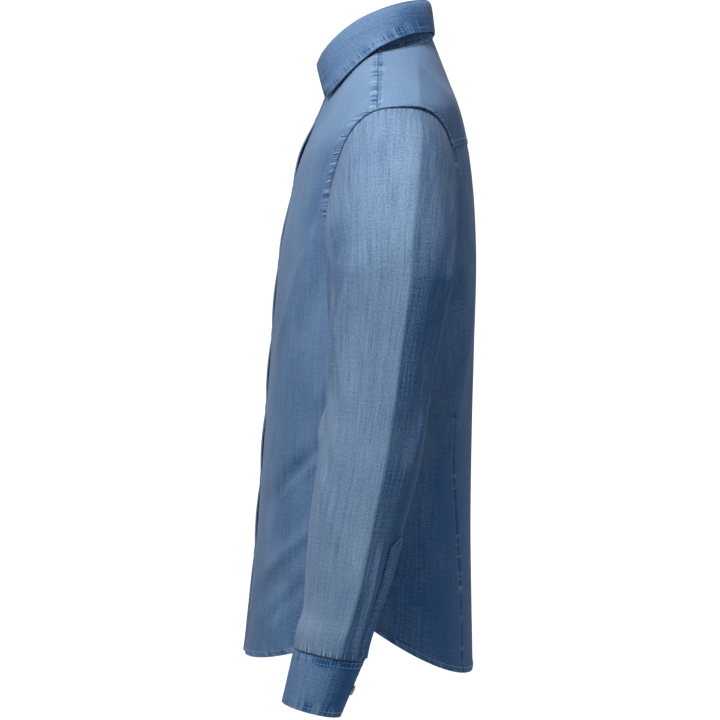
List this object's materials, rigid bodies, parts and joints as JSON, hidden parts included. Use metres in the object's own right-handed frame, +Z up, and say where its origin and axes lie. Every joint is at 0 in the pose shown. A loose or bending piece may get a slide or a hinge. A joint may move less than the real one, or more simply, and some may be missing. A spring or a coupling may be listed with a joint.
{
  "type": "denim shirt",
  "caption": "Long-sleeved denim shirt with pointed collar, back yoke, buttoned front, barrel cuffs and shirt-tail hem, filled out as if worn.",
  "frame": {"origin": "on the centre plane, level with the shoulder seams where they meet the collar, where the wearer's shoulders carry the shirt", "axes": "+Z up, -Y is the front of the shirt, +X is the wearer's left"},
  "size_m": [0.6494, 0.2718, 0.7922],
  "materials": {
    "denim_body": "light chambray denim, blue warp and pale weft in a fine twill, soft washed matt face",
    "denim_sleeve": "the same denim on the sleeves, with fine pale streaks along the warp",
    "denim_trim": "the same denim in doubled and topstitched trim, a little worn at its edges",
    "button": "smooth blue-grey dished button"
  },
  "bodies": {
    "root": {"front_left": "denim_body", "front_right": "denim_body", "back": "denim_body", "yoke": "denim_body", "front_band": "denim_trim", "collar_stand": "denim_trim", "collar_leaf": "denim_trim", "sleeve_left": "denim_sleeve", "sleeve_right": "denim_sleeve", "sleeve_placket_left": "denim_trim", "sleeve_placket_right": "denim_trim", "cuff_left": "denim_trim", "cuff_right": "denim_trim", "button_collar_stand": "button", "button_front_1": "button", "button_front_2": "button", "button_front_3": "button", "button_front_4": "button", "button_front_5": "button", "button_front_6": "button", "button_front_7": "button", "button_cuff_left": "button", "button_cuff_right": "button"}
  },
  "joints": []
}
